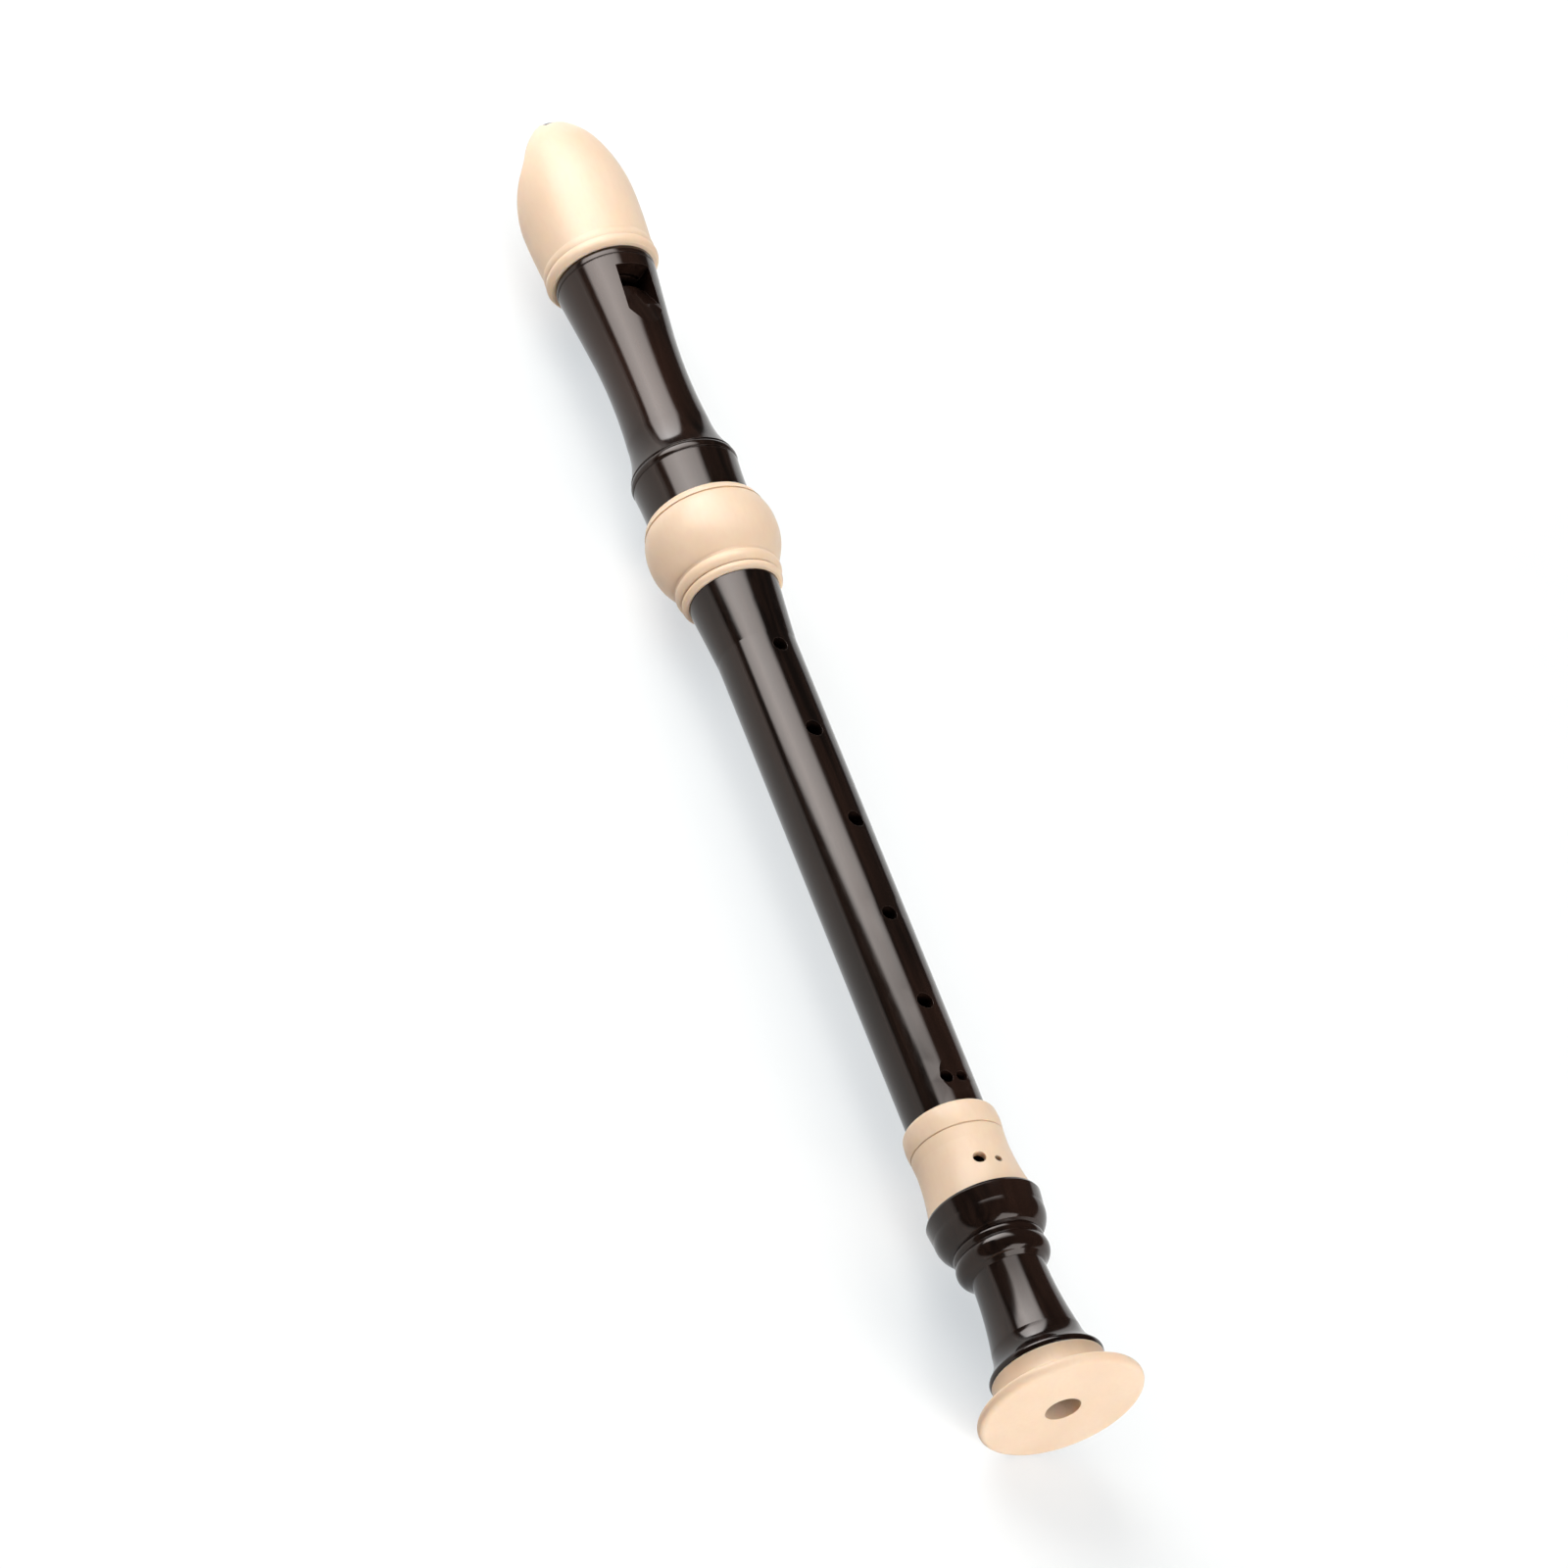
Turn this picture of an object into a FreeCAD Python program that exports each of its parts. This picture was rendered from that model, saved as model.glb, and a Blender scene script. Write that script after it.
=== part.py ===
import FreeCAD, Part
import os
import re
import Sketcher
from collections import namedtuple

# Alto recorder, lying on its bell rim with the finger holes up.
# The axis runs along Y, from the bell face at the low end to the beak's tip at the high end, and Y = 0 is
# halfway between them.
# Every piece is turned about that axis, and each one's own origin is on the axis at its lower end.

# Driving sizes in millimetres, or in degrees where the name ends in turn or spread
SIZES = {
    # Lengths that add up from the bell face to the beak's tip
    "bell_length": 12.7,
    "foot_body_length": 56.3,
    "foot_ring_length": 30.5,
    "middle_length": 194.0,
    "head_ring_length": 31.0,
    "head_barrel_length": 93.7,
    "beak_length": 59.8,
    # How far the head and the foot are turned from the line of holes
    "head_turn": 2.0,
    "foot_turn": -7.0,
    # Bell ring
    "bell_radius": 25.4,
    "bell_rim_thickness": 3.8,
    "bell_neck_radius": 17.2,
    "bell_bore_radius": 5.5,
    "bell_spigot_radius": 9.0,
    "bell_spigot_length": 7.0,
    # Foot body
    "foot_lip_radius": 17.5,
    "foot_stem_radius": 11.15,
    "foot_bead_radius": 14.35,
    "foot_small_bead_radius": 13.9,
    "foot_bulb_radius": 17.7,
    "foot_bore_radius": 6.6,
    "foot_socket_wall": 2.05,
    # Foot ring
    "foot_ring_hem_radius": 16.4,
    "foot_ring_waist_radius": 14.2,
    "foot_ring_band_radius": 14.75,
    # Middle tube
    "middle_radius": 12.3,
    "middle_shoulder_radius": 14.4,
    "middle_flare_length": 22.0,
    "middle_bore_low_radius": 6.7,
    "middle_bore_high_radius": 9.2,
    "lower_tenon_radius": 9.9,
    "lower_tenon_length": 15.5,
    "upper_tenon_radius": 11.4,
    "upper_tenon_length": 27.0,
    # Head ring
    "head_ring_bulb_radius": 20.7,
    "head_ring_bead_radius": 16.9,
    "head_ring_small_bead_radius": 16.1,
    # Head barrel
    "head_bore_radius": 9.5,
    "head_socket_wall": 1.85,
    "barrel_foot_radius": 16.35,
    "barrel_bead_radius": 17.1,
    "barrel_waist_radius": 12.62,
    "barrel_lip_radius": 16.1,
    "barrel_spigot_radius": 13.0,
    "barrel_spigot_length": 5.8,
    # Beak
    "beak_radius": 18.7,
    "beak_dome_length": 35.3,
    "beak_bead_radius": 18.2,
    "beak_bead_width": 3.4,
    "beak_small_bead_radius": 18.0,
    "beak_small_bead_width": 2.9,
    "underside_start": 15.5,
    "underside_tip_height": 5.9,
    # Window, labium and windway
    "window_width": 12.0,
    "window_length": 4.5,
    "window_to_beak": 6.7,
    "labium_edge_thickness": 0.3,
    "labium_ramp_length": 17.0,
    "labium_ramp_rise": 0.7,
    "labium_ramp_dish": 0.3,
    "windway_width": 11.6,
    "windway_height": 1.2,
    "windway_roof_height": 10.4,
    "windway_arch": 1.9,
    "windway_tip_arch": 0.8,
    "windway_drop": 1.4,
    "block_tip_recess": 0.4,
    # Tone holes of the middle tube, from its lower shoulder
    "hole_1_place": 167.0,
    "hole_1_diameter": 4.8,
    "hole_2_place": 135.5,
    "hole_2_diameter": 5.6,
    "hole_3_place": 101.9,
    "hole_3_diameter": 5.6,
    "hole_3_turn": 8.0,
    "hole_4_place": 67.4,
    "hole_4_diameter": 4.9,
    "hole_5_place": 35.7,
    "hole_5_diameter": 5.4,
    "hole_6_place": 9.2,
    "hole_6_diameter": 4.2,
    "hole_6_half_diameter": 3.6,
    "hole_6_spread": 13.2,
    "hole_6_scoop_radius": 22.0,
    "hole_6_scoop_depth": 0.9,
    "thumb_hole_place": 183.5,
    "thumb_hole_diameter": 5.6,
    "thumb_hole_turn": 180.0,
    # Tone hole of the foot, from the lower end of the foot ring
    "hole_7_place": 9.5,
    "hole_7_diameter": 4.0,
    "hole_7_half_place": 8.2,
    "hole_7_half_diameter": 2.4,
    "hole_7_spread": 11.2,
    # Seal rings and fits
    "seal_groove_depth": 1.1,
    "seal_clearance": 0.03,
    "seal_side_clearance": 0.15,
    "joint_clearance": 0.05,
    "shoulder_gap": 0.15,
    "tenon_end_gap": 0.6,
    "glue_line": 0.03,
    # Fine turned lines, broken edges, and the overrun of every cut
    "line_depth": 0.3,
    "line_width": 0.6,
    "broken_edge": 0.3,
    "overrun": 2.0,
}

# The sides of an outline run from corner to corner, and a bend between two corners makes theirs an arc
Corner = namedtuple("Corner", "across up")
Bend = namedtuple("Bend", "across up")

AXIS = FreeCAD.Vector(0, 1, 0)
FULL_TURN = 360
DOME_TURNS = (0, 18, 36, 52, 66, 78, 90)


def total(*lengths):
    return " + ".join(lengths)


# Stations along the axis, from the bell face
FOOT_BODY_STATION = "bell_length"
FOOT_RING_STATION = total(FOOT_BODY_STATION, "foot_body_length")
MIDDLE_STATION = total(FOOT_RING_STATION, "foot_ring_length")
HEAD_RING_STATION = total(MIDDLE_STATION, "middle_length")
BARREL_STATION = total(HEAD_RING_STATION, "head_ring_length")
BEAK_STATION = total(BARREL_STATION, "head_barrel_length")
WINDOW_STATION = f"{BEAK_STATION} - window_to_beak"
DOME_CUT_AWAY = "beak_dome_length * (1 - sqrt(1 - (underside_tip_height / beak_radius) ^ 2))"
WHOLE_LENGTH = f"{total(BEAK_STATION, 'beak_length')} - {DOME_CUT_AWAY}"

# Sizes that follow from others
LOWER_SOCKET_RADIUS = "(lower_tenon_radius + joint_clearance)"
UPPER_SOCKET_RADIUS = "(upper_tenon_radius + joint_clearance)"
FOOT_TUBE_RADIUS = f"({LOWER_SOCKET_RADIUS} + foot_socket_wall)"
HEAD_TUBE_RADIUS = f"({UPPER_SOCKET_RADIUS} + head_socket_wall)"
SEAL_WIRE_RADIUS = "((seal_groove_depth + joint_clearance) / 2 - seal_clearance)"
SEAL_GROOVE_HALF_WIDTH = f"({SEAL_WIRE_RADIUS} + seal_side_clearance)"
WINDWAY_LENGTH = "(window_to_beak + beak_length)"
WINDWAY_FLOOR_HEIGHT = "(windway_roof_height - windway_height)"
LABIUM_EDGE_HEIGHT = "(head_bore_radius + labium_edge_thickness)"

# Places of the two seal rings, as shares of a tenon's length from its shoulder
SEAL_PLACE_SHARES = (0.3, 0.7)

doc = FreeCAD.newDocument("alto_recorder")
sheet = doc.addObject("Spreadsheet::Sheet", "sizes")


def fill_sheet():
    for row, (name, size) in enumerate(SIZES.items(), start=1):
        sheet.set(f"A{row}", name)
        sheet.set(f"B{row}", str(size))
        sheet.setAlias(f"B{row}", name)
    doc.recompute()


def bound(expression):
    """The expression with each size read from the sheet."""
    return re.sub(r"[a-z]\w*", lambda word: f"sizes.{word[0]}" if word[0] in SIZES else word[0], expression)


def value(expression):
    return float(sheet.evalExpression(expression))


def spot(point):
    return FreeCAD.Vector(value(point.across), value(point.up), 0)


def new_body(node, station, turn="0"):
    """A body whose own origin is on the axis at its station, turned about the axis."""
    body = doc.addObject("PartDesign::Body", node)
    body.Label = node
    body.Placement = FreeCAD.Placement(FreeCAD.Vector(), FreeCAD.Rotation(AXIS, value(turn)))
    if turn != "0":
        body.setExpression("Placement.Rotation.Angle", bound(turn))
    body.setExpression("Placement.Base.y", bound(f"{station} - ({WHOLE_LENGTH}) / 2"))
    body.setExpression("Placement.Base.z", bound("bell_radius"))
    return body


def new_sketch(body, name, plane, along_normal="0", turn="0"):
    """A sketch on one of the body's own planes, moved along that plane's normal and turned about the axis."""
    sketch = body.newObject("Sketcher::SketchObject", f"{body.Name}_{name}")
    support = next(feature for feature in body.Origin.OriginFeatures if feature.Role == plane)
    sketch.AttachmentSupport = [(support, "")]
    sketch.MapMode = "FlatFace"
    offset = FreeCAD.Vector(0, 0, value(along_normal))
    sketch.AttachmentOffset = FreeCAD.Placement(offset, FreeCAD.Rotation(AXIS, value(turn)))
    sketch.setExpression("AttachmentOffset.Base.z", bound(along_normal))
    if turn != "0":
        sketch.setExpression("AttachmentOffset.Rotation.Angle", bound(turn))
    return sketch


def hold_point(sketch, geometry, end, point):
    """Hold one point of the sketch at a place that is read from the sheet."""
    for direction, expression in (("DistanceX", point.across), ("DistanceY", point.up)):
        place = Sketcher.Constraint(direction, -1, 1, geometry, end, value(expression))
        sketch.setExpression(f"Constraints[{sketch.addConstraint(place)}]", bound(expression))


def draw_outline(sketch, points):
    """Draw the closed outline through these corners and bends, which start with a corner."""
    ends = []
    for place, start in enumerate(points):
        if isinstance(start, Bend):
            continue
        bend, stop = (points * 2)[place + 1:place + 3]
        if isinstance(bend, Bend):
            side = sketch.addGeometry(Part.Arc(spot(start), spot(bend), spot(stop)))
            passed = sketch.addGeometry(Part.Point(spot(bend)), True)
            hold_point(sketch, passed, 1, bend)
            sketch.addConstraint(Sketcher.Constraint("PointOnObject", passed, 1, side))
        else:
            side = sketch.addGeometry(Part.LineSegment(spot(start), spot(bend)))
        first, last = sorted((1, 2), key=lambda end: sketch.getPoint(side, end).distanceToPoint(spot(start)))
        hold_point(sketch, side, first, start)
        ends.append((side, first, last))
    for (side, _, last), (following, first, _) in zip(ends, ends[1:] + ends[:1]):
        sketch.addConstraint(Sketcher.Constraint("Coincident", side, last, following, first))


def draw_circle(sketch, centre, radius):
    circle = sketch.addGeometry(Part.Circle(spot(centre), FreeCAD.Vector(0, 0, 1), value(radius)))
    hold_point(sketch, circle, 3, centre)
    size = Sketcher.Constraint("Radius", circle, value(radius))
    sketch.setExpression(f"Constraints[{sketch.addConstraint(size)}]", bound(radius))


def turn_solid(body, sketch):
    feature = body.newObject("PartDesign::Revolution", f"{body.Name}_turned")
    feature.Profile = sketch
    feature.ReferenceAxis = (sketch, ["H_Axis"])
    feature.Angle = FULL_TURN
    doc.recompute()


def cut(body, kind, name, **settings):
    """Add a cutting feature and make sure that it takes something away."""
    before = body.Shape.Volume
    feature = body.newObject(f"PartDesign::{kind}", f"{body.Name}_{name}")
    for setting, choice in settings.items():
        setattr(feature, setting, choice)
    doc.recompute()
    if body.Shape.Volume >= before:
        raise RuntimeError(f"{name} cuts nothing from {body.Label}")


def turned_piece(node, station, points, turn="0"):
    """A piece turned about the axis, from an outline of places along it and radii."""
    body = new_body(node, station, turn)
    sketch = new_sketch(body, "outline", "YZ_Plane")
    draw_outline(sketch, points)
    turn_solid(body, sketch)
    return body


def line_groove(place, radius):
    """A fine turned line, level with the surface on both sides."""
    return [
        Corner(f"{place} - line_width / 2", radius),
        Bend(place, f"{radius} - line_depth"),
        Corner(f"{place} + line_width / 2", radius),
    ]


def profile(rows, end, start="0"):
    """The outline's points from rows of kind, share of the way from start to end, and radius."""
    points = []
    for kind, share, radius in rows:
        place = f"({start} + {share} * ({end} - {start}))"
        points += kind(place, radius) if kind is line_groove else [kind(place, radius)]
    return points


def seal_groove(place, radius):
    """A square groove for one seal ring."""
    low = f"{place} - {SEAL_GROOVE_HALF_WIDTH}"
    high = f"{place} + {SEAL_GROOVE_HALF_WIDTH}"
    floor = f"{radius} - seal_groove_depth"
    return [Corner(low, radius), Corner(low, floor), Corner(high, floor), Corner(high, radius)]


def tone_hole(body, name, place, diameter, turn="0"):
    """A round hole from the bore out through the wall, turned about the axis from the top."""
    sketch = new_sketch(body, name, "XY_Plane", turn=turn)
    draw_circle(sketch, Corner("0", place), f"{diameter} / 2")
    cut(body, "Pocket", f"{name}_cut", Profile=sketch, Type="ThroughAll", Reversed=True)


# Radii along the bell ring's collar, at shares of the way from the rim's back to the foot body
BELL_COLLAR_SHARES = [
    (Bend, 0.11, "bell_neck_radius + 0.24 * (bell_radius - bell_neck_radius)"),
    (Corner, 0.40, "bell_neck_radius"),
    (Bend, 0.72, "0.985 * bell_neck_radius"),
    (Corner, 1.00, "bell_neck_radius"),
]


def bell_ring():
    """Wide flat disc with a rounded edge, a waisted collar, and a spigot up inside the foot body."""
    edge = "bell_radius - bell_rim_thickness / 2"
    top = "(bell_length - glue_line)"
    end = f"{top} + bell_spigot_length"
    return turned_piece("bell_ring", "0", [
        Corner("0", "bell_bore_radius"),
        Corner("0", edge),
        Bend("bell_rim_thickness / 2", "bell_radius"),
        Corner("bell_rim_thickness", edge),
        *profile(BELL_COLLAR_SHARES, top, "bell_rim_thickness"),
        Corner(top, "bell_spigot_radius"),
        Corner(end, "bell_spigot_radius"),
        Corner(end, "bell_bore_radius"),
    ])


# Radii along the foot body, at shares of its length: lip, cove, stem, two beads and bulb
FOOT_BODY_SHARES = [
    (Corner, 0.000, "0.965 * foot_lip_radius"),
    (Bend, 0.020, "foot_lip_radius"),
    (Corner, 0.040, "0.970 * foot_lip_radius"),
    (Bend, 0.082, "0.868 * foot_lip_radius"),
    (Corner, 0.178, "0.778 * foot_lip_radius"),
    (Bend, 0.345, "1.090 * foot_stem_radius"),
    (Corner, 0.600, "foot_stem_radius"),
    (Corner, 0.620, "0.860 * foot_bead_radius"),
    (Bend, 0.676, "foot_bead_radius"),
    (Corner, 0.730, "0.940 * foot_bead_radius"),
    (Bend, 0.754, "foot_small_bead_radius"),
    (Corner, 0.777, "0.970 * foot_small_bead_radius"),
    (Corner, 0.788, "0.820 * foot_bulb_radius"),
    (Bend, 0.824, "0.912 * foot_bulb_radius"),
    (Corner, 0.900, "0.968 * foot_bulb_radius"),
    (Bend, 0.945, "0.986 * foot_bulb_radius"),
    (Corner, 0.985, "foot_bulb_radius"),
    (Corner, 1.000, "0.975 * foot_bulb_radius"),
]


def foot_body():
    """Dark foot, hollow, with the socket tube for the middle tube's lower tenon inside the light ring."""
    top = "(foot_body_length - glue_line)"
    tube_end = "foot_body_length + foot_ring_length - shoulder_gap"
    socket_floor = "foot_body_length + foot_ring_length - lower_tenon_length - tenon_end_gap"
    points = [
        *profile(FOOT_BODY_SHARES, top),
        Corner(top, FOOT_TUBE_RADIUS),
        Corner(tube_end, FOOT_TUBE_RADIUS),
        Corner(tube_end, LOWER_SOCKET_RADIUS),
        Corner(socket_floor, LOWER_SOCKET_RADIUS),
        Corner(socket_floor, "foot_bore_radius"),
        Corner("bell_spigot_length", "bell_bore_radius"),
        Corner("bell_spigot_length", "bell_spigot_radius + glue_line"),
        Corner("0", "bell_spigot_radius + glue_line"),
    ]
    body = turned_piece("foot_body", FOOT_BODY_STATION, points, "foot_turn")
    seventh_hole(body, "foot_body_length + ")
    return body


# Radii along the foot ring, at shares of its length: hem, waist, turned line and band
FOOT_RING_SHARES = [
    (Corner, 0.00, "foot_ring_hem_radius"),
    (Bend, 0.28, "0.905 * foot_ring_hem_radius"),
    (Corner, 0.58, "foot_ring_waist_radius"),
    (line_groove, 0.72, "0.976 * foot_ring_band_radius"),
    (Bend, 0.83, "foot_ring_band_radius"),
    (Corner, 0.93, "0.985 * foot_ring_band_radius"),
    (Bend, 0.98, "0.950 * foot_ring_band_radius"),
    (Corner, 1.00, "0.900 * foot_ring_band_radius"),
]


def foot_ring():
    """Light sleeve on the foot's socket tube, with a turned line and a raised band at its mouth."""
    top = "(foot_ring_length - shoulder_gap)"
    bore = f"{FOOT_TUBE_RADIUS} + glue_line"
    outline = [*profile(FOOT_RING_SHARES, top), Corner(top, bore), Corner("0", bore)]
    body = turned_piece("foot_ring", FOOT_RING_STATION, outline, "foot_turn")
    seventh_hole(body, "")
    return body


def seventh_hole(body, ring_start):
    """The double hole for the little finger, which goes through the foot ring and the socket tube."""
    tone_hole(body, "hole_7", f"{ring_start}hole_7_place", "hole_7_diameter", "-hole_7_spread")
    tone_hole(body, "hole_7_half", f"{ring_start}hole_7_half_place", "hole_7_half_diameter", "hole_7_spread")


# Radii along the middle tube's flare, at shares of the flare's length
FLARE_SHARES = [
    (Corner, 0.00, "middle_radius + 0.09 * (middle_shoulder_radius - middle_radius)"),
    (Bend, 0.45, "middle_radius + 0.48 * (middle_shoulder_radius - middle_radius)"),
    (Corner, 1.00, "middle_shoulder_radius"),
]


def middle_tube():
    """Long dark tube with a tapered bore, a tenon at each end and all the tone holes but the last."""
    tenon_end = "middle_length + upper_tenon_length"
    lower_seals = [f"-{share} * lower_tenon_length" for share in reversed(SEAL_PLACE_SHARES)]
    upper_seals = [f"middle_length + {share} * upper_tenon_length" for share in SEAL_PLACE_SHARES]
    body = turned_piece("middle_tube", MIDDLE_STATION, [
        Corner("-lower_tenon_length", "middle_bore_low_radius"),
        Corner("-lower_tenon_length", "lower_tenon_radius - broken_edge"),
        Corner("broken_edge - lower_tenon_length", "lower_tenon_radius"),
        *[point for place in lower_seals for point in seal_groove(place, "lower_tenon_radius")],
        Corner("0", "lower_tenon_radius"),
        Corner("0", "middle_radius - broken_edge"),
        Corner("broken_edge", "middle_radius"),
        *profile(FLARE_SHARES, "middle_length", "(middle_length - middle_flare_length)"),
        Corner("middle_length", "upper_tenon_radius"),
        *[point for place in upper_seals for point in seal_groove(place, "upper_tenon_radius")],
        Corner(f"{tenon_end} - broken_edge", "upper_tenon_radius"),
        Corner(tenon_end, "upper_tenon_radius - broken_edge"),
        Corner(tenon_end, "middle_bore_high_radius"),
    ])
    scoop = new_sketch(body, "scoop", "YZ_Plane")
    scoop_height = "middle_radius - hole_6_scoop_depth + hole_6_scoop_radius"
    draw_circle(scoop, Corner("hole_6_place", scoop_height), "hole_6_scoop_radius")
    cut(body, "Pocket", "scoop_cut", Profile=scoop, Type="ThroughAll", SideType="Symmetric")
    tone_hole(body, "hole_1", "hole_1_place", "hole_1_diameter")
    tone_hole(body, "hole_2", "hole_2_place", "hole_2_diameter")
    tone_hole(body, "hole_3", "hole_3_place", "hole_3_diameter", "hole_3_turn")
    tone_hole(body, "hole_4", "hole_4_place", "hole_4_diameter")
    tone_hole(body, "hole_5", "hole_5_place", "hole_5_diameter")
    tone_hole(body, "hole_6", "hole_6_place", "hole_6_diameter", "-hole_6_spread")
    tone_hole(body, "hole_6_half", "hole_6_place", "hole_6_half_diameter", "hole_6_spread")
    tone_hole(body, "thumb_hole", "thumb_hole_place", "thumb_hole_diameter", "thumb_hole_turn")
    return body


def seal_ring(node, station, tenon_radius):
    """Round rubber ring that fills one groove of a tenon."""
    body = new_body(node, station)
    sketch = new_sketch(body, "section", "YZ_Plane")
    height = f"{tenon_radius} - seal_groove_depth + seal_clearance + {SEAL_WIRE_RADIUS}"
    draw_circle(sketch, Corner("0", height), SEAL_WIRE_RADIUS)
    turn_solid(body, sketch)
    return body


def seal_rings():
    bodies = []
    for number, share in enumerate(SEAL_PLACE_SHARES, start=1):
        upper = f"{HEAD_RING_STATION} + {share} * upper_tenon_length"
        lower = f"{MIDDLE_STATION} - {share} * lower_tenon_length"
        bodies.append(seal_ring(f"upper_seal_ring_{number}", upper, "upper_tenon_radius"))
        bodies.append(seal_ring(f"lower_seal_ring_{number}", lower, "lower_tenon_radius"))
    return bodies


# Radii along the head ring, at shares of its length: two beads, the bulb with a flat crown, a turned line
HEAD_RING_SHARES = [
    (Corner, 0.000, "0.935 * head_ring_small_bead_radius"),
    (Bend, 0.042, "head_ring_small_bead_radius"),
    (Corner, 0.081, "0.965 * head_ring_small_bead_radius"),
    (Bend, 0.146, "head_ring_bead_radius"),
    (Corner, 0.211, "0.960 * head_ring_bead_radius"),
    (Corner, 0.236, "0.790 * head_ring_bulb_radius"),
    (Bend, 0.402, "0.938 * head_ring_bulb_radius"),
    (Corner, 0.632, "head_ring_bulb_radius"),
    (Corner, 0.654, "head_ring_bulb_radius"),
    (Bend, 0.784, "0.978 * head_ring_bulb_radius"),
    (line_groove, 0.893, "0.925 * head_ring_bulb_radius"),
    (Corner, 0.955, "0.890 * head_ring_bulb_radius"),
    (Bend, 0.988, "0.862 * head_ring_bulb_radius"),
    (Corner, 1.000, "0.825 * head_ring_bulb_radius"),
]


def head_ring():
    """Light bulb round the head's socket tube, with a double bead below and a turned line above."""
    top = "(head_ring_length - glue_line)"
    bore = f"{HEAD_TUBE_RADIUS} + glue_line"
    return turned_piece("head_ring", HEAD_RING_STATION, [
        *profile(HEAD_RING_SHARES, top, "shoulder_gap"),
        Corner(top, bore),
        Corner("shoulder_gap", bore),
    ])


# Radii along the head barrel, at shares of its length: bead between turned lines, waist, line and lip
BARREL_SHARES = [
    (Corner, 0.0000, "barrel_foot_radius"),
    (Bend, 0.0800, "1.006 * barrel_foot_radius"),
    (line_groove, 0.1545, "0.985 * barrel_bead_radius"),
    (Bend, 0.1705, "barrel_bead_radius"),
    (line_groove, 0.1865, "0.970 * barrel_bead_radius"),
    (Bend, 0.2360, "0.870 * barrel_bead_radius"),
    (Corner, 0.3330, "1.062 * barrel_waist_radius"),
    (Bend, 0.5000, "barrel_waist_radius"),
    (Corner, 0.6800, "1.043 * barrel_waist_radius"),
    (Bend, 0.8260, "0.900 * barrel_lip_radius"),
    (line_groove, 0.9720, "0.992 * barrel_lip_radius"),
    (Bend, 0.9860, "barrel_lip_radius"),
    (Corner, 1.0000, "0.985 * barrel_lip_radius"),
]


def head_barrel():
    """Dark head: socket tube, bead, waist, lip and the spigot for the beak, with the window and its ramp."""
    top = "(head_barrel_length - glue_line)"
    end = "head_barrel_length + barrel_spigot_length"
    tube_end = "shoulder_gap - head_ring_length"
    socket_floor = "upper_tenon_length + tenon_end_gap - head_ring_length"
    points = [
        *profile(BARREL_SHARES, top),
        Corner(top, "barrel_spigot_radius"),
        Corner(end, "barrel_spigot_radius"),
        Corner(end, "head_bore_radius"),
        Corner(socket_floor, "head_bore_radius"),
        Corner(socket_floor, UPPER_SOCKET_RADIUS),
        Corner(tube_end, UPPER_SOCKET_RADIUS),
        Corner(tube_end, HEAD_TUBE_RADIUS),
        Corner("0", HEAD_TUBE_RADIUS),
    ]
    body = turned_piece("head_barrel", BARREL_STATION, points, "head_turn")
    window_top = "(head_barrel_length - window_to_beak)"
    cut_window(body, window_top)
    cut_windway(body, window_top, "windway_roof_height", "-overrun")
    return body


def section(body, name, along, width, middle, side, far):
    """A section across the axis: an arched edge from side to side, and a straight one at the far height."""
    sketch = new_sketch(body, name, "XZ_Plane", along_normal=f"-({along})")
    draw_outline(sketch, [
        Corner(f"-{width} / 2", side),
        Bend("0", middle),
        Corner(f"{width} / 2", side),
        Corner(f"{width} / 2", far),
        Corner(f"-{width} / 2", far),
    ])
    return sketch


# The labium ramp's height in shares of its rise, at shares of its length
RAMP_SHARES = [(0.50, 0.53), (1.00, 1.00)]


def cut_window(body, window_top):
    """The window in the barrel's wall and the ramp that rises from the labium's edge to the surface."""
    edge = f"{window_top} - window_length"
    window = new_sketch(body, "window", "XY_Plane")
    draw_outline(window, [
        Corner("-window_width / 2", edge),
        Corner("window_width / 2", edge),
        Corner("window_width / 2", window_top),
        Corner("-window_width / 2", window_top),
    ])
    cut(body, "Pocket", "window_cut", Profile=window, Type="ThroughAll", Reversed=True)
    above = "barrel_lip_radius + overrun"
    edge_side = f"sqrt({LABIUM_EDGE_HEIGHT} ^ 2 - (window_width / 2) ^ 2)"
    low = section(body, "labium_edge", edge, "window_width", LABIUM_EDGE_HEIGHT, edge_side, above)
    ramp = []
    for number, (share, rise_share) in enumerate(RAMP_SHARES, start=1):
        rise = f"{rise_share} * (barrel_waist_radius + labium_ramp_rise - {LABIUM_EDGE_HEIGHT})"
        height = f"{LABIUM_EDGE_HEIGHT} + {rise}"
        along = f"{edge} - {share} * labium_ramp_length"
        ramp.append(section(body, f"ramp_{number}", along, "window_width", height,
                            f"{height} + labium_ramp_dish", above))
    cut(body, "SubtractiveLoft", "ramp_cut", Profile=low, Sections=ramp, Ruled=True)


def cut_windway(body, window_top, edge_height, far):
    """The flat channel from the beak's tip down to the window: its roof with what is below, or its floor
    with what is above."""
    sections = []
    for name, place in (("windway_low", "-overrun"), ("windway_high", f"({WINDWAY_LENGTH} + overrun)")):
        middle = f"({edge_height} - windway_drop * {place} / {WINDWAY_LENGTH})"
        arch = f"(windway_arch + (windway_tip_arch - windway_arch) * {place} / {WINDWAY_LENGTH})"
        sections.append(section(body, name, f"{window_top} + {place}", "windway_width", middle,
                                f"{middle} - {arch}", far))
    cut(body, "SubtractiveLoft", "windway_cut", Profile=sections[0], Sections=sections[1:], Ruled=True)


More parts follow.
